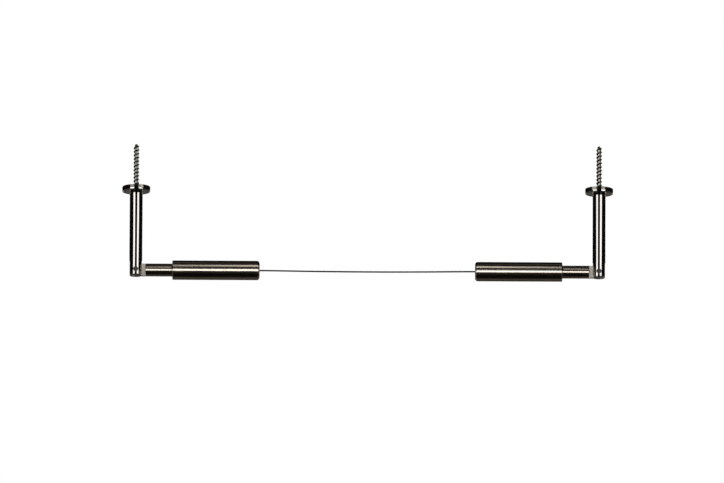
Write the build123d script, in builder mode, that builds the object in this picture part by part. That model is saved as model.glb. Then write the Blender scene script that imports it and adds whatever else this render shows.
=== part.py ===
"""Ceiling-hung curtain wire: two posts screwed to the ceiling, a swivel rod and
a tension sleeve on each, and a steel wire pulled tight between the sleeves.

Millimetres, +Z up, +X along the wire. The origin is on the ceiling plane,
halfway between the posts, and the front of the object faces -Y.
"""

from build123d import *
from math import atan, degrees, pi, radians, tan
import os

# Layout
wire_span = 200.0  # free wire between the two sleeves
drop = 79.0  # ceiling face down to the pivots and the wire

# Wire, a thin stranded steel rope
wire_dia = 1.5
wire_points = [  # along X and above the wire's axis, with a slight sag
    (-121.5, 0.0),
    (-93.0, 0.0),
    (-49.0, -0.62),
    (3.0, -0.86),
    (52.0, -0.6),
    (94.0, 0.0),
    (121.5, 0.0),
]
arc_share = 0.45  # of the shorter run, taken by each end of an arc

# Tension sleeve, open towards the post and walled towards the wire
sleeve_dia = 18.0
sleeve_length = 81.0
sleeve_wall = 4.0  # end wall that the wire comes through
sleeve_chamfer = 0.6  # at the post end
sleeve_round = 2.5  # at the wire end
wire_hole_gap = 0.45  # around the wire in the end wall

# Swivel rod: a flat tongue, a round shank and a threaded tail
rod_dia = 12.0
rod_showing = 25.0  # shank between the shoulder and the sleeve
rod_inside = 8.0  # shank that sits in the sleeve
shoulder_reach = 9.0  # pivot axis to the shoulder of the shank
shoulder_chamfer = 0.4
tongue_thickness = 4.0
tongue_inset = 0.4  # tongue's round end inside the post's outline
tail_dia = 10.0  # nominal thread
tail_chamfer = 1.0

# Travel of the rod in the sleeve
tighten_travel = 20.0
stop_gap = 0.5  # shank to the bottom of its counterbore when fully tight
tip_gap = 0.9  # tail to the clamp when fully tight

# Wire clamp, a small barrel that the sleeve turns around
clamp_dia = 8.2
clamp_length = 18.0
clamp_chamfer = 0.5
clamp_play = 0.1  # endwise, against the end wall
clamp_gap = 0.2  # around the barrel
grub_dia = 3.0
grub_inset = 5.0  # from the clamp's ends to the screw axes
grub_recess = 0.5  # top of the screw under the barrel's crown
grub_socket = 1.5  # across the flats
grub_socket_depth = 1.3
grub_point = 0.5  # chamfer at the tip

# Post, with a fork at its foot
post_dia = 12.0
post_tail = 5.7  # foot below the pivot axis
post_round = 1.2  # rounding of the foot
post_chamfer = 0.4
fork_roof = 8.8  # pivot axis up to the end of the slot
hanger_socket = 13.0  # depth of the threaded hole in the top

# Pivot screw, a slotted shoulder screw
pivot_dia = 4.6
pivot_thread_dia = 4.0
pivot_recess = 0.5  # faces under the post's crown, front and back
driver_slot = 0.8
driver_depth = 0.9
driver_angle = 40.0  # of the slot, above the wire's line

# Ceiling flange
flange_dia = 26.0
flange_thickness = 5.0
flange_round = 1.0
flange_chamfer = 0.3

# Hanger screw: a wood thread above and a machine shank below
hanger_dia = 6.0
hanger_grip = 12.0  # shank in the post
hanger_recess = 0.6  # top of the shank under the ceiling face
wood_dia = 5.4
wood_core = 3.7
wood_pitch = 3.5
wood_turns = 10.6  # on the straight part
wood_tip = 2.6
wood_point = 0.5  # radius of the very tip
thread_base = 1.9  # width of the thread where it leaves the core
thread_crest = 0.7
thread_root = 0.25  # depth of the thread's foot inside the core
thread_runout = 0.9  # where the thread ends, short of the tip
thread_start = 98.0  # degrees from +X to where the thread begins

# Fits, each a gap on the radius or on one side
running_gap = 0.05
fork_gap = 0.1
shank_gap = 0.15
seat_gap = 0.03

# Places measured outwards from the middle of the wire
sleeve_inner = wire_span / 2
sleeve_outer = sleeve_inner + sleeve_length
clamp_inner = sleeve_inner + sleeve_wall + clamp_play
clamp_outer = clamp_inner + clamp_length
grub_reaches = (clamp_inner + grub_inset, clamp_outer - grub_inset)
shank_inner = sleeve_outer - rod_inside
shank_outer = sleeve_outer + rod_showing
pivot_reach = shank_outer + shoulder_reach
tail_inner = clamp_outer + tip_gap + tighten_travel
counterbore_end = shank_inner - tighten_travel - stop_gap

# Heights, with the ceiling at zero
wire_height = -drop
post_top = -flange_thickness
post_foot = wire_height - post_tail
fork_top = wire_height + fork_roof
fork_width = tongue_thickness + 2 * fork_gap

wire_axis = Axis((0, 0, wire_height), (1, 0, 0))


def lengthwise(side):
    """Plane through the wire's axis: local X points outwards and local Y up."""
    return Plane(origin=(0, 0, wire_height), x_dir=(side, 0, 0), z_dir=(0, -side, 0))


def across(side, y):
    """Plane square to a pivot, at depth y, facing the front."""
    return Plane(
        origin=(side * pivot_reach, y, wire_height), x_dir=(1, 0, 0), z_dir=(0, -1, 0)
    )


def make_tension_sleeve(side):
    bore = tail_dia / 2 + running_gap
    clamp_bore = clamp_dia / 2 + clamp_gap
    wire_bore = wire_dia / 2 + wire_hole_gap
    with BuildPart() as tension_sleeve:
        with BuildSketch(lengthwise(side)):
            with BuildLine():
                Polyline(
                    (sleeve_inner, wire_bore),
                    (sleeve_inner, sleeve_dia / 2),
                    (sleeve_outer, sleeve_dia / 2),
                    (sleeve_outer, rod_dia / 2 + shank_gap),
                    (counterbore_end, rod_dia / 2 + shank_gap),
                    (counterbore_end, bore),
                    (clamp_outer, bore),
                    (clamp_outer, clamp_bore),
                    (sleeve_inner + sleeve_wall, clamp_bore),
                    (sleeve_inner + sleeve_wall, wire_bore),
                    close=True,
                )
            make_face()
        revolve(axis=wire_axis)
        rims = tension_sleeve.edges().filter_by(GeomType.CIRCLE)
        outer_rims = rims.filter_by(lambda rim: rim.radius > sleeve_dia / 2 - 0.01)
        wire_end, post_end = outer_rims.sort_by(lambda rim: abs(rim.center().X))
        fillet(wire_end, radius=sleeve_round)
        chamfer(post_end, length=sleeve_chamfer)
    return tension_sleeve.part


def make_wire_clamp(side):
    with BuildPart() as wire_clamp:
        with BuildSketch(lengthwise(side)):
            with BuildLine():
                Polyline(
                    (clamp_inner, wire_dia / 2 + shank_gap),
                    (clamp_inner, clamp_dia / 2),
                    (clamp_outer, clamp_dia / 2),
                    (clamp_outer, wire_dia / 2 + shank_gap),
                    close=True,
                )
            make_face()
        revolve(axis=wire_axis)
        rims = wire_clamp.edges().filter_by(GeomType.CIRCLE)
        outer_rims = rims.filter_by(lambda rim: rim.radius > clamp_dia / 2 - 0.01)
        chamfer(outer_rims, length=clamp_chamfer)
        with BuildSketch(Plane.XY.offset(wire_height)):
            with Locations(*[(side * reach, 0) for reach in grub_reaches]):
                Circle(grub_dia / 2 + running_gap)
        extrude(amount=clamp_dia, mode=Mode.SUBTRACT)
    return wire_clamp.part


def make_clamp_screws(side):
    tip = wire_height + wire_dia / 2 + seat_gap
    top = wire_height + clamp_dia / 2 - grub_recess
    with BuildPart() as clamp_screws:
        for reach in grub_reaches:
            with BuildSketch(Plane.XY.offset(tip)):
                with Locations((side * reach, 0)):
                    Circle(grub_dia / 2)
            extrude(amount=top - tip)
        chamfer(clamp_screws.edges().group_by(Axis.Z)[0], length=grub_point)
        for reach in grub_reaches:
            with BuildSketch(Plane.XY.offset(top)):
                with Locations((side * reach, 0)):
                    RegularPolygon(grub_socket / 2, 6, major_radius=False)
            extrude(amount=-grub_socket_depth, mode=Mode.SUBTRACT)
    return clamp_screws.part


def make_swivel_rod(side):
    tongue_end = rod_dia / 2 - tongue_inset
    with BuildPart() as swivel_rod:
        with BuildSketch(lengthwise(side)):
            with BuildLine():
                Polyline(
                    (tail_inner, 0),
                    (tail_inner, tail_dia / 2 - running_gap),
                    (shank_inner, tail_dia / 2 - running_gap),
                    (shank_inner, rod_dia / 2),
                    (pivot_reach, rod_dia / 2),
                    (pivot_reach, 0),
                    close=True,
                )
            make_face()
        revolve(axis=wire_axis)
        ends = swivel_rod.edges().filter_by(GeomType.CIRCLE)
        chamfer(ends.sort_by(lambda rim: abs(rim.center().X))[0], length=tail_chamfer)
        # The tongue's flats, milled away on both sides up to the shoulder
        for face in (-1, 1):
            with BuildSketch(across(side, face * tongue_thickness / 2)):
                with Locations((-side * shoulder_reach / 2, 0)):
                    Rectangle(shoulder_reach, 2 * rod_dia)
            extrude(amount=-face * rod_dia, mode=Mode.SUBTRACT)
        shoulder = swivel_rod.faces().filter_by(Axis.X)
        shoulder = shoulder.filter_by(lambda f: abs(abs(f.center().X) - shank_outer) < 0.01)
        chamfer(shoulder.edges().filter_by(GeomType.CIRCLE), length=shoulder_chamfer)
        # The round end of the tongue, about the pivot
        with BuildSketch(across(side, 0)):
            Circle(tongue_end)
        extrude(amount=tongue_thickness / 2, both=True)
        with BuildSketch(across(side, 0)):
            Circle(pivot_dia / 2 + running_gap)
        extrude(amount=tongue_thickness, both=True, mode=Mode.SUBTRACT)
    return swivel_rod.part


def make_post(side):
    length = post_top - post_foot
    with BuildPart() as post:
        with BuildSketch(Plane.XY.offset(post_foot)):
            with Locations((side * pivot_reach, 0)):
                Circle(post_dia / 2)
        extrude(amount=length)
        fillet(post.edges().sort_by(Axis.Z)[0], radius=post_round)
        chamfer(post.edges().sort_by(Axis.Z)[-1], length=post_chamfer)
        with BuildSketch(Plane.XY.offset(post_top)):
            with Locations((side * pivot_reach, 0)):
                Circle(hanger_dia / 2 + running_gap)
        extrude(amount=-hanger_socket, mode=Mode.SUBTRACT)
        with BuildSketch(Plane.XY.offset(fork_top)):
            with Locations((side * pivot_reach, 0)):
                Rectangle(2 * post_dia, fork_width)
        extrude(amount=post_foot - fork_top - post_dia, mode=Mode.SUBTRACT)
        with BuildSketch(across(side, 0)):
            Circle(pivot_dia / 2 + running_gap)
        extrude(amount=post_dia, mode=Mode.SUBTRACT)
        with BuildSketch(across(side, 0)):
            Circle(pivot_thread_dia / 2 + running_gap)
        extrude(amount=-post_dia, mode=Mode.SUBTRACT)
    return post.part


def make_pivot_screw(side):
    front = post_dia / 2 - pivot_recess
    shoulder = fork_width / 2 - seat_gap
    with BuildPart() as pivot_screw:
        with BuildSketch(across(side, shoulder)):
            Circle(pivot_dia / 2)
        extrude(amount=shoulder + front)
        with BuildSketch(across(side, shoulder)):
            Circle(pivot_thread_dia / 2)
        extrude(amount=shoulder - front)
        with BuildSketch(across(side, -front)):
            Rectangle(2 * pivot_dia, driver_slot, rotation=-side * driver_angle)
        extrude(amount=-driver_depth, mode=Mode.SUBTRACT)
    return pivot_screw.part


def make_ceiling_flange(side):
    with BuildPart() as ceiling_flange:
        with BuildSketch(Plane.XY.offset(-flange_thickness)):
            with Locations((side * pivot_reach, 0)):
                Circle(flange_dia / 2)
        extrude(amount=flange_thickness)
        fillet(ceiling_flange.edges().sort_by(Axis.Z)[0], radius=flange_round)
        chamfer(ceiling_flange.edges().sort_by(Axis.Z)[-1], length=flange_chamfer)
        with BuildSketch(Plane.XY):
            with Locations((side * pivot_reach, 0)):
                Circle(hanger_dia / 2 + shank_gap)
        extrude(amount=-2 * flange_thickness, mode=Mode.SUBTRACT)
    return ceiling_flange.part


def make_hanger_screw(side):
    foot = wood_core / 2 - thread_root
    first_turn = thread_base / 2 + seat_gap
    taper = first_turn + wood_turns * wood_pitch
    point = taper + wood_tip
    narrowing = degrees(atan((wood_core / 2 - wood_point) / wood_tip))
    # Made about the Z axis, where both hands are the same, and then moved to its post
    with BuildPart() as hanger_screw:
        with BuildSketch(Plane.XZ):
            with BuildLine():
                Polyline(
                    (0, post_top - hanger_grip),
                    (hanger_dia / 2, post_top - hanger_grip),
                    (hanger_dia / 2, -hanger_recess),
                    (wood_core / 2, -hanger_recess),
                    (wood_core / 2, taper),
                    (wood_point, point),
                    (0, point),
                    close=True,
                )
            make_face()
        revolve(axis=Axis.Z)
        # The right-handed thread, straight and then drawn in along the tip from where it ends
        stretches = (
            (0, first_turn, wood_turns * wood_pitch, 0),
            (360 * wood_turns, taper, wood_tip - thread_runout, -narrowing),
        )
        for turned, start, rise, cone_angle in stretches:
            outward = Vector(1, 0, 0).rotate(Axis.Z, turned)
            upright = Plane(origin=(0, 0, 0), x_dir=outward, z_dir=outward.cross(Vector(0, 0, 1)))
            helix = Edge.make_helix(wood_pitch, rise, foot, (0, 0, start), angle=cone_angle)
            with BuildLine():
                add(helix.rotate(Axis.Z, turned))
            with BuildSketch(upright):
                with BuildLine():
                    Polyline(
                        (foot, start - thread_base / 2),
                        (wood_dia / 2, start - thread_crest / 2),
                        (wood_dia / 2, start + thread_crest / 2),
                        (foot, start + thread_base / 2),
                        close=True,
                    )
                make_face()
            sweep(is_frenet=True)
    place = Location((side * pivot_reach, 0, 0), (0, 0, thread_start))
    return hanger_screw.part.moved(place)


def make_wire_rope():
    points = [(x, 0, wire_height + z) for x, z in wire_points]
    runs = [Vector(*b) - Vector(*a) for a, b in zip(points, points[1:])]
    radii = []
    for before, after in zip(runs, runs[1:]):
        turn = radians(before.get_angle(after))
        radii.append(arc_share * min(before.length, after.length) / tan(turn / 2))
    print("cord radii:", [round(radius) for radius in radii])
    with BuildPart() as wire_rope:
        with BuildLine() as route:
            FilletPolyline(*points, radius=radii)
        with BuildSketch(Plane(origin=points[0], z_dir=(1, 0, 0))):
            Circle(wire_dia / 2)
        sweep()
    length = sum(edge.length for edge in route.edges())
    tube = length * pi * wire_dia**2 / 4
    print(f"wire: {length:.2f} mm long, volume {wire_rope.part.volume:.2f} for {tube:.2f}")
    return wire_rope.part


def save(part, name):
    part.label = name
    export_step(part, f"parts/{name}.step")
    print(name, len(part.solids()), round(part.volume, 1))


makers = {
    "hanger_screw": make_hanger_screw,
    "ceiling_flange": make_ceiling_flange,
    "post": make_post,
    "pivot_screw": make_pivot_screw,
    "swivel_rod": make_swivel_rod,
    "tension_sleeve": make_tension_sleeve,
    "wire_clamp": make_wire_clamp,
    "clamp_screws": make_clamp_screws,
}

os.makedirs("parts", exist_ok=True)
for hand, side in (("left", -1), ("right", 1)):
    for piece, make in makers.items():
        save(make(side), f"{hand}_{piece}")
save(make_wire_rope(), "wire_rope")
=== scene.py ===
import bpy
import bmesh
from math import cos, pi, radians, sin
from mathutils import Matrix, Vector


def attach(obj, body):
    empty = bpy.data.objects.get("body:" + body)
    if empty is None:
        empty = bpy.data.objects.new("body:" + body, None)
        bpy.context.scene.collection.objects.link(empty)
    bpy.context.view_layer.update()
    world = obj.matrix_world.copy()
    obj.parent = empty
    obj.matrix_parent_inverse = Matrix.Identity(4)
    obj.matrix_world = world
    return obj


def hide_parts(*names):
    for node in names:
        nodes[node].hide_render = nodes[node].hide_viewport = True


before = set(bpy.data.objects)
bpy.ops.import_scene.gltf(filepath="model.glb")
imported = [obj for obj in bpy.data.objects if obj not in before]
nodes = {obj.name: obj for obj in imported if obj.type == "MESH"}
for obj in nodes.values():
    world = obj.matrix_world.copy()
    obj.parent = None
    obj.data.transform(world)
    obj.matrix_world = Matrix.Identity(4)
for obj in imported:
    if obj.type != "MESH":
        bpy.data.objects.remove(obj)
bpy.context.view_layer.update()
print("frame loaded:", len(nodes), "nodes")

# The camera that saw the picture: far off, in front and a little below the ceiling
cameraSetup = {
    "distance": 20.0,  # metres from the aim point
    "elevation": -12.3,  # degrees, below the object and looking up
    "roll": 0.29,  # the right end hangs a little lower in the picture
    "aim": (-0.00506, 0.0, -0.0509),
    "pixelsPerMetre": 1076.9,  # at the aim point
    "imageWidth": 724,  # pixels
    "sensor": 36.0,
    "clip": (0.1, 60),
}


def wayTo(azimuth, elevation):
    # unit vector from the object, azimuth 0 is the front (-Y) and 90 is +X
    a, e = radians(azimuth), radians(elevation)
    return Vector((sin(a) * cos(e), -cos(a) * cos(e), sin(e)))


def makeCamera(setup):
    data = bpy.data.cameras.new("camera")
    camera = bpy.data.objects.new("camera", data)
    bpy.context.scene.collection.objects.link(camera)
    back = wayTo(0, setup["elevation"])
    data.sensor_width = setup["sensor"]
    widthAtAim = setup["imageWidth"] / setup["pixelsPerMetre"]
    data.lens = setup["sensor"] * setup["distance"] / widthAtAim
    data.clip_start, data.clip_end = setup["clip"]
    camera.location = Vector(setup["aim"]) + back * setup["distance"]
    turn = (-back).to_track_quat("-Z", "Y").to_matrix()
    camera.rotation_euler = (turn @ Matrix.Rotation(radians(setup["roll"]), 3, "Z")).to_euler()
    bpy.context.scene.camera = camera
    print("camera: lens", round(data.lens, 1), "mm")


makeCamera(cameraSetup)


# Node helpers: a node with its settings and inputs in one call
def addNode(tree, kind, settings=(), **inputs):
    node = tree.nodes.new(kind)
    for name, value in dict(settings).items():
        setattr(node, name, value)
    for name, value in inputs.items():
        feed(tree, node, name.replace("_", " "), value)
    return node


def feed(tree, node, name, value):
    # an input by its name or place, linked to a socket or set to a value
    if name.isdigit():
        socket = node.inputs[int(name)]
    else:
        socket = next(s for s in node.inputs if s.name == name and s.enabled)
    if isinstance(value, bpy.types.NodeSocket):
        tree.links.new(value, socket)
    else:
        socket.default_value = value


def out(node):
    return next(s for s in node.outputs if s.enabled)


def math(tree, operation, *values):
    node = addNode(tree, "ShaderNodeMath", {"operation": operation})
    for index, value in enumerate(values):
        feed(tree, node, str(index), value)
    return node.outputs[0]


def vectorMath(tree, operation, *vectors, **inputs):
    node = addNode(tree, "ShaderNodeVectorMath", {"operation": operation}, **inputs)
    for index, vector in enumerate(vectors):
        feed(tree, node, str(index), vector)
    return out(node)


def spread(tree, value, fromLow, fromHigh, toLow, toHigh):
    node = addNode(tree, "ShaderNodeMapRange", Value=value)
    ends = {"From Min": fromLow, "From Max": fromHigh, "To Min": toLow, "To Max": toHigh}
    for name, number in ends.items():
        feed(tree, node, name, number)
    return node.outputs[0]


def blend(tree, kind, share, first, second):
    return out(addNode(tree, "ShaderNodeMix", {"data_type": kind}, Factor=share, A=first, B=second))


def blendColours(tree, share, *colours):
    first, second = ((*c, 1) if isinstance(c, tuple) else c for c in colours)
    return blend(tree, "RGBA", share, first, second)


# Material helpers. A pattern is a noise on object coordinates, stretched along or around a piece
noiseSpan = (0.3, 0.7)  # nearly all of a noise lies between these


def newMetal(name):
    material = bpy.data.materials.new(name)
    material.use_nodes = True
    tree = material.node_tree
    shader = tree.nodes["Principled BSDF"]
    feed(tree, shader, "Metallic", 1)
    return material, tree, shader


def objectPlace(tree):
    return addNode(tree, "ShaderNodeTexCoord").outputs["Object"]


def objectAxes(tree):
    return addNode(tree, "ShaderNodeSeparateXYZ", Vector=objectPlace(tree)).outputs


def pattern(tree, scale, stretch=(1, 1, 1), detail=3, roughness=0.5):
    place = addNode(tree, "ShaderNodeMapping", Vector=objectPlace(tree), Scale=stretch).outputs[0]
    node = addNode(tree, "ShaderNodeTexNoise", Vector=place, Scale=scale, Detail=detail)
    feed(tree, node, "Roughness", roughness)
    return node.outputs[0]


def vary(tree, noise, ends):
    return spread(tree, noise, *noiseSpan, *ends)


def shades(tree, noise, look):
    return blendColours(tree, vary(tree, noise, (0, 1)), look["dark"], look["light"])


def dent(tree, shader, height, look):
    strength, depth = look["dentStrength"], look["dentDepth"]
    node = addNode(tree, "ShaderNodeBump", Height=height, Strength=strength, Distance=depth)
    feed(tree, shader, "Normal", node.outputs[0])


def turnAbout(tree, shader, axis):
    # rings about an axis smear the light along it, a quarter turn from the rings
    feed(tree, shader, "Anisotropic Rotation", 0.25)
    tangent = addNode(tree, "ShaderNodeTangent", {"direction_type": "RADIAL", "axis": axis})
    feed(tree, shader, "Tangent", tangent.outputs[0])


# Turned steel of the sleeves and rods: fine rings around the wire's axis
turnedSteel = {
    "light": (0.60, 0.545, 0.475),
    "dark": (0.50, 0.45, 0.39),
    "roughness": (0.29, 0.31),
    "smear": 1.0,
    "rings": {"scale": 9000, "stretch": (1, 0.02, 0.02), "detail": 2},
    "ringShare": 0.5,  # of the shading, the rest is clouds
    "dentStrength": 0.3,
    "dentDepth": 0.000003,
    "clouds": {"scale": 60},
    "streaks": {"scale": 260, "stretch": (1, 0.02, 0.02), "detail": 4, "roughness": 0.7},
    "streakShades": (0.9, 1.05),  # darker and lighter turns, a few millimetres wide
}
tongueSteel = {  # milled flats at the rod's outer end
    "start": 0.2058,  # from the middle of the wire
    "colour": (0.68, 0.63, 0.57),
    "roughness": (0.33, 0.43),
    "smear": 0.35,
}


def makeTurnedSteel(name, look, tongue=None):
    material, tree, shader = newMetal(name)
    rings = pattern(tree, **look["rings"])
    clouds = pattern(tree, **look["clouds"])
    ringShare = look["ringShare"]
    both = math(tree, "MULTIPLY_ADD", rings, ringShare, math(tree, "MULTIPLY", clouds, 1 - ringShare))
    streaks = vary(tree, pattern(tree, **look["streaks"]), look["streakShades"])
    colour = vectorMath(tree, "SCALE", shades(tree, both, look), Scale=streaks)
    roughness = vary(tree, clouds, look["roughness"])
    smear = look["smear"]
    if tongue:
        reach = math(tree, "ABSOLUTE", objectAxes(tree)["X"])
        milled = math(tree, "GREATER_THAN", reach, tongue["start"])
        colour = blendColours(tree, milled, colour, tongue["colour"])
        grain = vary(tree, clouds, tongue["roughness"])
        roughness = blend(tree, "FLOAT", milled, roughness, grain)
        smear = spread(tree, milled, 0, 1, smear, tongue["smear"])
    feed(tree, shader, "Base Color", colour)
    feed(tree, shader, "Roughness", roughness)
    feed(tree, shader, "Anisotropic", smear)
    turnAbout(tree, shader, "X")
    dent(tree, shader, rings, look)
    return material


# Polished steel of the posts: nearly a mirror, with faint clouds and lengthwise hairlines,
# and a painted shadow on the end under the flange
polishedSteel = {
    "light": (0.64, 0.62, 0.60),
    "dark": (0.56, 0.54, 0.52),
    "roughness": (0.02, 0.05),
    "hairs": {"scale": 4000, "stretch": (1, 1, 0.02), "detail": 2},
    "clouds": {"scale": 90, "stretch": (1, 1, 0.4)},
    "hazeSpan": (0.1, 0.4),  # of hairlines times clouds
    "paintedShadow": (0.02, 0.0195, 0.018),  # painted shadow on the end under the flange
    "paintedShadowHeights": (-0.0068, -0.0063),
}


def makePolishedSteel(look):
    material, tree, shader = newMetal("polished_steel")
    hairs = pattern(tree, **look["hairs"])
    clouds = pattern(tree, **look["clouds"])
    # painted shadow: the post's end under the flange fades to near black
    end = spread(tree, objectAxes(tree)["Z"], *look["paintedShadowHeights"], 0, 1)
    feed(tree, shader, "Base Color", blendColours(tree, end, shades(tree, clouds, look), look["paintedShadow"]))
    haze = math(tree, "MULTIPLY", clouds, hairs)
    feed(tree, shader, "Roughness", spread(tree, haze, *look["hazeSpan"], *look["roughness"]))
    return material


# Flange: its rim is turned about the upright axis, its rounded lower edge and underside are polished,
# and a painted highlight makes a bright line round the rim.
# Each pair of heights is where one zone fades into the next
flangeSteel = {
    "rim": {"colour": (0.66, 0.62, 0.55), "roughness": 0.17, "smear": 0.6},
    "grooveShade": 0.85,
    "rings": {"scale": 9000, "stretch": (0.02, 0.02, 1), "detail": 2},
    "paintedHighlightHeights": (-0.0033, -0.0030),
    "paintedHighlight": (0.90, 0.88, 0.84),  # painted highlight: a bright line round the rim, above its rounded edge
    "edgeHeights": (-0.0042, -0.0039),
    "edge": (0.45, 0.435, 0.42),
    "underHeights": (-0.00497, -0.00493),
    "under": {"colour": (0.66, 0.64, 0.61), "roughness": 0.06, "smear": 0.0},
}


def makeFlangeSteel(look):
    material, tree, shader = newMetal("flange_steel")
    rim, under = look["rim"], look["under"]
    height = objectAxes(tree)["Z"]

    def above(heights):
        return spread(tree, height, *look[heights], 0, 1)

    onRim = above("paintedHighlightHeights")
    grooves = tuple(c * look["grooveShade"] for c in rim["colour"])
    turned = blendColours(tree, pattern(tree, **look["rings"]), grooves, rim["colour"])
    # painted highlight: a near-white line round the rim, just above its rounded edge
    turned = blendColours(tree, onRim, look["paintedHighlight"], turned)
    polished = blendColours(tree, above("underHeights"), under["colour"], look["edge"])
    feed(tree, shader, "Base Color", blendColours(tree, above("edgeHeights"), polished, turned))
    for name, quality in (("Roughness", "roughness"), ("Anisotropic", "smear")):
        feed(tree, shader, name, spread(tree, onRim, 0, 1, under[quality], rim[quality]))
    turnAbout(tree, shader, "Z")
    return material


# Zinc-plated screws. The wood thread's crests carry painted shade, darker than its core
screwSteel = {
    "light": (0.56, 0.54, 0.50),
    "dark": (0.42, 0.40, 0.37),
    "roughness": (0.32, 0.42),
    "grain": {"scale": 1500},
    "clouds": {"scale": 200},
    "dentStrength": 0.2,
    "dentDepth": 0.00001,
}
threadSteel = {
    **screwSteel,
    "light": (0.56, 0.54, 0.505),
    "dark": (0.46, 0.44, 0.41),
    "roughness": (0.03, 0.08),
    # painted shade on the thread's crests, which hides their highlights
    "paintedCrestShade": (0.03, 0.029, 0.028),
    "radii": (0.00188, 0.00198),  # from the screw's axis, where the colour turns
    "reach": 0.215,  # screw's axis, from the middle of the wire
}


def makeScrewSteel(name, look):
    material, tree, shader = newMetal(name)
    grain = pattern(tree, **look["grain"])
    colour = shades(tree, pattern(tree, **look["clouds"]), look)
    if "paintedCrestShade" in look:
        axes = objectAxes(tree)
        across = math(tree, "SUBTRACT", math(tree, "ABSOLUTE", axes["X"]), look["reach"])
        away = addNode(tree, "ShaderNodeCombineXYZ", X=across, Y=axes["Y"]).outputs[0]
        outward = spread(tree, vectorMath(tree, "LENGTH", away), *look["radii"], 0, 1)
        # painted shade: the thread's crests turn nearly black
        colour = blendColours(tree, outward, colour, look["paintedCrestShade"])
    feed(tree, shader, "Base Color", colour)
    feed(tree, shader, "Roughness", vary(tree, grain, look["roughness"]))
    dent(tree, shader, grain, look)
    return material


# Plain metals with clouds in them: the clamps' brass and the wire's steel
clampBrass = {
    "light": (0.72, 0.52, 0.24),
    "dark": (0.55, 0.38, 0.16),
    "roughness": (0.25, 0.4),
    "clouds": {"scale": 400},
}
wireSteel = {
    "light": (0.11, 0.106, 0.102),
    "dark": (0.04, 0.039, 0.037),
    "roughness": (0.14, 0.24),
    "clouds": {"scale": 1200},
}


def makeCloudedMetal(name, look):
    material, tree, shader = newMetal(name)
    clouds = pattern(tree, **look["clouds"])
    feed(tree, shader, "Base Color", shades(tree, clouds, look))
    feed(tree, shader, "Roughness", vary(tree, clouds, look["roughness"]))
    return material


# The wire: a 7 x 7 steel rope. Its route repeats the solid's, in metres
wire = {
    "height": -0.079,
    "diameter": 0.0015,
    "strands": 6,  # around the core
    "wiresInStrand": 6,
    "strandLay": 0.0105,  # length in which a strand goes once round
    "wireLay": 0.0042,
    "step": 0.0006,
    "wireSides": 5,
    "coreSides": 8,
    "length": 0.243,
    "exit": (-0.1, 0, -0.079),
    "routeOrder": 3,
    "routeResolution": 24,
    "route": [  # along X, and above the wire's axis
        (-0.1215, 0),
        (-0.093, 0),
        (-0.049, -0.00062),
        (0.003, -0.00086),
        (0.052, -0.0006),
        (0.094, 0),
        (0.1215, 0),
    ],
}


def routeCurve(setup):
    data = bpy.data.curves.new("wire_route", "CURVE")
    data.dimensions = "3D"
    spline = data.splines.new("NURBS")
    spline.points.add(len(setup["route"]) - 1)
    for point, (x, above) in zip(spline.points, setup["route"]):
        point.co = (x, 0, setup["height"] + above, 1)
    spline.order_u = setup["routeOrder"]
    spline.use_endpoint_u = True
    spline.resolution_u = setup["routeResolution"]
    curve = bpy.data.objects.new("wire_route", data)
    bpy.context.scene.collection.objects.link(curve)
    return curve


def evaluatedMesh(thing, name):
    bpy.context.view_layer.update()
    graph = bpy.context.evaluated_depsgraph_get()
    mesh = bpy.data.meshes.new_from_object(thing.evaluated_get(graph), depsgraph=graph)
    mesh.name = name
    return mesh


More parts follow.
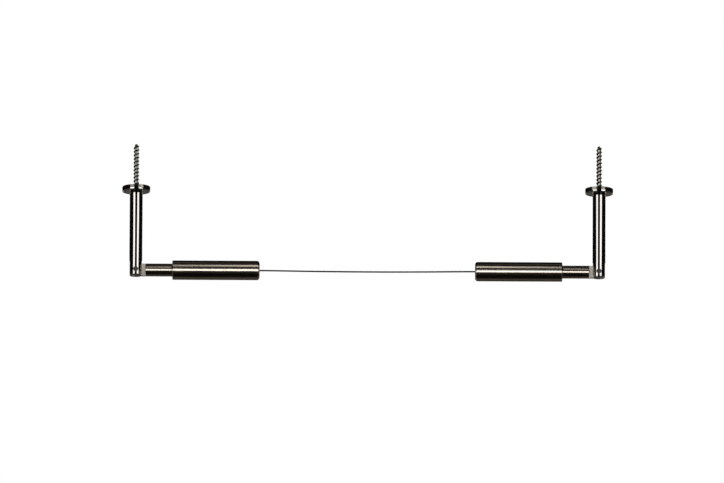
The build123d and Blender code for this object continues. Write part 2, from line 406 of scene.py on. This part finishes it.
def ropeTree(setup, material):
    tree = bpy.data.node_groups.new("rope", "GeometryNodeTree")
    face = tree.interface
    face.new_socket("Geometry", in_out="INPUT", socket_type="NodeSocketGeometry")
    for name in ("Strands", "Wires in strand"):
        face.new_socket(name, in_out="INPUT", socket_type="NodeSocketInt")
    for name in ("Diameter", "Strand lay", "Wire lay", "Step"):
        face.new_socket(name, in_out="INPUT", socket_type="NodeSocketFloat")
    face.new_socket("Geometry", in_out="OUTPUT", socket_type="NodeSocketGeometry")
    given = addNode(tree, "NodeGroupInput").outputs
    line = addNode(tree, "GeometryNodeMeshToCurve", Mesh=given["Geometry"]).outputs[0]
    axis = addNode(tree, "GeometryNodeResampleCurve", {"mode": "LENGTH"}, Curve=line)
    feed(tree, axis, "Length", given["Step"])
    along = addNode(tree, "GeometryNodeSplineParameter").outputs["Length"]
    normal = addNode(tree, "GeometryNodeInputNormal").outputs[0]
    tangent = addNode(tree, "GeometryNodeInputTangent").outputs[0]
    side = vectorMath(tree, "CROSS_PRODUCT", tangent, normal)

    def divide(whole, part):
        return math(tree, "DIVIDE", whole, part)

    def offset(turns, radius):
        # from the axis, at a number of turns round it
        angle = math(tree, "MULTIPLY", turns, 2 * pi)
        first = math(tree, "MULTIPLY", math(tree, "COSINE", angle), radius)
        second = math(tree, "MULTIPLY", math(tree, "SINE", angle), radius)
        first = vectorMath(tree, "SCALE", normal, Scale=first)
        second = vectorMath(tree, "SCALE", side, Scale=second)
        return vectorMath(tree, "ADD", first, second)

    def tube(path, sides, radius):
        ring = addNode(tree, "GeometryNodeCurvePrimitiveCircle", Resolution=sides, Radius=radius)
        node = addNode(tree, "GeometryNodeCurveToMesh", Curve=path, Profile_Curve=ring.outputs[0])
        feed(tree, node, "Fill Caps", True)
        return node.outputs[0]

    inStrand = given["Wires in strand"]
    count = math(tree, "MULTIPLY", given["Strands"], inStrand)
    copies = addNode(tree, "GeometryNodeDuplicateElements", {"domain": "SPLINE"}, Amount=count)
    feed(tree, copies, "Geometry", axis.outputs[0])
    index = copies.outputs["Duplicate Index"]
    strand = math(tree, "FLOOR", divide(index, inStrand))
    strandTurn = math(tree, "ADD", divide(strand, given["Strands"]), divide(along, given["Strand lay"]))
    wireTurn = math(tree, "SUBTRACT", divide(index, inStrand), divide(along, given["Wire lay"]))
    strandRadius = divide(given["Diameter"], 3)  # a rope is three strands wide, a strand three wires
    wireOffset = divide(given["Diameter"], 9)
    wireRadius = divide(given["Diameter"], 18)
    apart = vectorMath(tree, "ADD", offset(strandTurn, strandRadius), offset(wireTurn, wireOffset))
    moved = addNode(tree, "GeometryNodeSetPosition", Geometry=copies.outputs["Geometry"], Offset=apart)
    wires = tube(moved.outputs[0], setup["wireSides"], wireRadius)
    core = tube(axis.outputs[0], setup["coreSides"], math(tree, "MULTIPLY", wireRadius, 3))
    both = addNode(tree, "GeometryNodeJoinGeometry")
    for part in (wires, core):
        tree.links.new(part, both.inputs[0])
    smooth = addNode(tree, "GeometryNodeSetShadeSmooth", Geometry=both.outputs[0])
    real = addNode(tree, "GeometryNodeRealizeInstances", Geometry=smooth.outputs[0])
    painted = addNode(tree, "GeometryNodeSetMaterial", Geometry=real.outputs[0], Material=material)
    addNode(tree, "NodeGroupOutput", Geometry=painted.outputs[0])
    return tree


def setInputs(modifier, values):
    # a modifier knows its inputs by identifier, not by name
    sockets = modifier.node_group.interface.items_tree
    identifiers = {s.name: s.identifier for s in sockets if s.in_out == "INPUT"}
    for name, value in values.items():
        modifier[identifiers[name]] = value


def makeWire(setup, material):
    curve = routeCurve(setup)
    line = evaluatedMesh(curve, "wire_line")
    strands = bpy.data.objects.new("wire_line", line)
    bpy.context.scene.collection.objects.link(strands)
    modifier = strands.modifiers.new("rope", "NODES")
    modifier.node_group = ropeTree(setup, material)
    setInputs(modifier, {
        "Strands": setup["strands"],
        "Wires in strand": setup["wiresInStrand"],
        "Diameter": setup["diameter"],
        "Strand lay": setup["strandLay"],
        "Wire lay": setup["wireLay"],
        "Step": setup["step"],
    })
    mesh = evaluatedMesh(strands, "stranded_wire")
    rope = bpy.data.objects.new("stranded_wire", mesh)
    bpy.context.scene.collection.objects.link(rope)
    bpy.data.objects.remove(strands)
    bpy.data.objects.remove(curve)
    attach(rope, "wire")
    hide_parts("wire_rope")
    print("wire:", len(mesh.polygons), "faces")


makeWire(wire, makeCloudedMetal("wire_steel", wireSteel))

# The other pieces are the solids themselves, with a finish for each kind
hands = ("left", "right")
finishes = {
    "tension_sleeve": makeTurnedSteel("turned_steel", turnedSteel),
    "swivel_rod": makeTurnedSteel("rod_steel", turnedSteel, tongueSteel),
    "post": makePolishedSteel(polishedSteel),
    "ceiling_flange": makeFlangeSteel(flangeSteel),
    "hanger_screw": makeScrewSteel("thread_steel", threadSteel),
    "pivot_screw": makeScrewSteel("screw_steel", screwSteel),
    "wire_clamp": makeCloudedMetal("clamp_brass", clampBrass),
}
finishes["clamp_screws"] = finishes["pivot_screw"]
for hand in hands:
    for piece, finish in finishes.items():
        for slot in nodes[f"{hand}_{piece}"].material_slots:
            slot.material = finish
print("finishes on the nodes")


# Studio: softboxes in a dark tent around the object, which the camera doesn't see, and a white world.
# A softbox lies on a sphere about the wire. Its heights are plain elevations, or angles about the
# wire's line, so that a turned bar shows an even line
white, warm = (1, 0.99, 0.97), (1, 0.9, 0.8)
softboxDistance = 6.0
softboxes = {
    "stripe_left": {"azimuth": (-51, -19.6), "elevation": (11.6, 13.6), "glow": 1.8, "colour": white},
    "stripe_right": {"azimuth": (19.6, 51), "elevation": (11.6, 13.6), "glow": 1.8, "colour": white},
    "low_left": {"azimuth": (-51, -19.6), "turn": (-17.2, 2.5), "glow": 1.8, "colour": white},
    "low_right": {"azimuth": (19.6, 51), "turn": (-17.2, 2.5), "glow": 1.8, "colour": white},
    "band": {
        "azimuth": (-60, 60),
        "turn": (-17.2, 2.5),
        "glow": 2.3,
        "colour": white,
        "distance": 5.8,  # just in front of the low softboxes
        "turnedOnly": True,  # on the posts it would fade into the white world in side views
    },
    "overhead": {"azimuth": (-50, 50), "turn": (78, 100), "glow": 0.03, "colour": warm},
    "under_back": {
        "azimuth": (-60, 60),
        "turn": (-136, -107),
        "glow": 0.10,
        "colour": warm,
        "distance": 1.2,
    },
    "side_left": {"azimuth": (-125, -58), "elevation": (-27, -11), "glow": 0.25, "colour": warm},
    "side_right": {"azimuth": (58, 125), "elevation": (-27, -11), "glow": 0.25, "colour": warm},
    "back_low": {"azimuth": (165, 195), "elevation": (-20, -7), "glow": 0.08, "colour": warm},
    "back_left": {"azimuth": (195, 225), "elevation": (-20, -10), "glow": 1.2, "colour": white},
    "back_right": {"azimuth": (135, 165), "elevation": (-20, -10), "glow": 1.2, "colour": white},
}
beigeCard = {
    "halfLength": 0.14,
    "distance": 0.3,
    "turn": (36, 56),
    "glow": 1.9,
    "colour": (1, 0.96, 0.90),
}
flangeCard = {  # one over each flange
    "reach": 0.215,
    "height": 0.12,
    "halfSize": 0.045,
    "glow": 0.11,
    "colour": warm,
}
tent = {
    "radius": 8.0,
    "subdivisions": 5,
    "opening": 9.0,  # degrees about the line from the camera through the wire, behind the wire
    "glow": 0.004,
    "colour": (1, 0.95, 0.9),
}
worldStrength = {"light": 0.5, "seen": 1.0}  # seen by the camera, reflections and glass

# What a softbox marked turnedOnly lights
turnedPieces = bpy.data.collections.new("turned_pieces")
for hand in hands:
    for piece in ("tension_sleeve", "swivel_rod"):
        turnedPieces.objects.link(nodes[f"{hand}_{piece}"])


def between(ends, share):
    return ends[0] + (ends[1] - ends[0]) * share


def emission(name, colour, strength, clear=False):
    material = bpy.data.materials.new(name)
    material.use_nodes = True
    tree = material.node_tree
    tree.nodes.clear()
    surface = addNode(tree, "ShaderNodeEmission", Color=(*colour, 1), Strength=strength).outputs[0]
    if clear:  # what stands behind it shows through
        both = addNode(tree, "ShaderNodeAddShader")
        feed(tree, both, "0", surface)
        feed(tree, both, "1", addNode(tree, "ShaderNodeBsdfTransparent").outputs[0])
        surface = both.outputs[0]
    addNode(tree, "ShaderNodeOutputMaterial", Surface=surface)
    return material


def stageMesh(name, build, material):
    mesh = bpy.data.meshes.new(name)
    shape = bmesh.new()
    build(shape)
    shape.to_mesh(mesh)
    shape.free()
    mesh.materials.append(material)
    thing = bpy.data.objects.new(name, mesh)
    bpy.context.scene.collection.objects.link(thing)
    thing.visible_camera = False
    return thing


def makeCard(name, pointAt, setup, steps=16):
    # a patch of light, from a point for each pair of shares along and up it
    def build(shape):
        shares = [k / steps for k in range(steps + 1)]
        rows = [[shape.verts.new(pointAt(along, up)) for along in shares] for up in shares]
        for low, high in zip(rows, rows[1:]):
            for k in range(steps):
                shape.faces.new((low[k], low[k + 1], high[k + 1], high[k]))

    turnedOnly = setup.get("turnedOnly", False)
    card = stageMesh(name, build, emission(name, setup["colour"], setup["glow"], turnedOnly))
    card.visible_shadow = False
    if turnedOnly:
        card.light_linking.receiver_collection = turnedPieces


def turnedWay(azimuth, turn):
    # unit vector swung up about the wire's line by an angle, from one that points to an azimuth
    a, t = radians(azimuth), radians(turn)
    return Vector((sin(a), -cos(a) * cos(t), cos(a) * sin(t)))


def makeSoftbox(name, setup, centre):
    kind, way = ("turn", turnedWay) if "turn" in setup else ("elevation", wayTo)
    distance = setup.get("distance", softboxDistance)

    def pointAt(along, up):
        azimuth = between(setup["azimuth"], along)
        return centre + way(azimuth, between(setup[kind], up)) * distance

    makeCard(name, pointAt, setup)


def makeBeigeCard(setup, centre):
    # near the sleeves and as long as the two reach, so its reflection fades along the rods
    def pointAt(along, up):
        x = between((-setup["halfLength"], setup["halfLength"]), along)
        return centre + Vector((x, 0, 0)) + turnedWay(0, between(setup["turn"], up)) * setup["distance"]

    makeCard("beige_card", pointAt, setup)


def makeFlangeCard(name, side, setup):
    def pointAt(along, up):
        x, y = (between((-setup["halfSize"], setup["halfSize"]), share) for share in (along, up))
        return Vector((side * setup["reach"] + x, y, setup["height"]))

    makeCard(name, pointAt, setup, steps=1)


def makeTent(setup, centre):
    def build(shape):
        place = Matrix.Translation(centre)
        fineness, radius = setup["subdivisions"], setup["radius"]
        bmesh.ops.create_icosphere(shape, subdivisions=fineness, radius=radius, matrix=place)
        behind = wayTo(180, -cameraSetup["elevation"])
        limit = cos(radians(setup["opening"]))

        def isOpen(face):
            return (face.calc_center_median() - centre).normalized().dot(behind) > limit

        bmesh.ops.delete(shape, geom=[f for f in shape.faces if isOpen(f)], context="FACES")

    stageMesh("dark_tent", build, emission("tent_cloth", setup["colour"], setup["glow"]))


wireCentre = Vector((0, 0, wire["height"]))
makeTent(tent, wireCentre)
makeBeigeCard(beigeCard, wireCentre)
makeFlangeCard("flange_card_left", -1, flangeCard)
makeFlangeCard("flange_card_right", 1, flangeCard)
for name, setup in softboxes.items():
    makeSoftbox(name, setup, wireCentre)


def makeWorld(strength):
    world = bpy.data.worlds.new("studio")
    bpy.context.scene.world = world
    world.use_nodes = True
    tree = world.node_tree
    tree.nodes.clear()
    rays = addNode(tree, "ShaderNodeLightPath").outputs
    seen = math(tree, "MAXIMUM", rays["Is Camera Ray"], rays["Is Glossy Ray"])
    seen = math(tree, "MAXIMUM", seen, rays["Is Transmission Ray"])
    level = spread(tree, seen, 0, 1, strength["light"], strength["seen"])
    glow = addNode(tree, "ShaderNodeBackground", Color=(1, 1, 1, 1), Strength=level)
    addNode(tree, "ShaderNodeOutputWorld", Surface=glow.outputs[0])


makeWorld(worldStrength)
bpy.context.scene.view_settings.view_transform = "Standard"
print("studio ready")
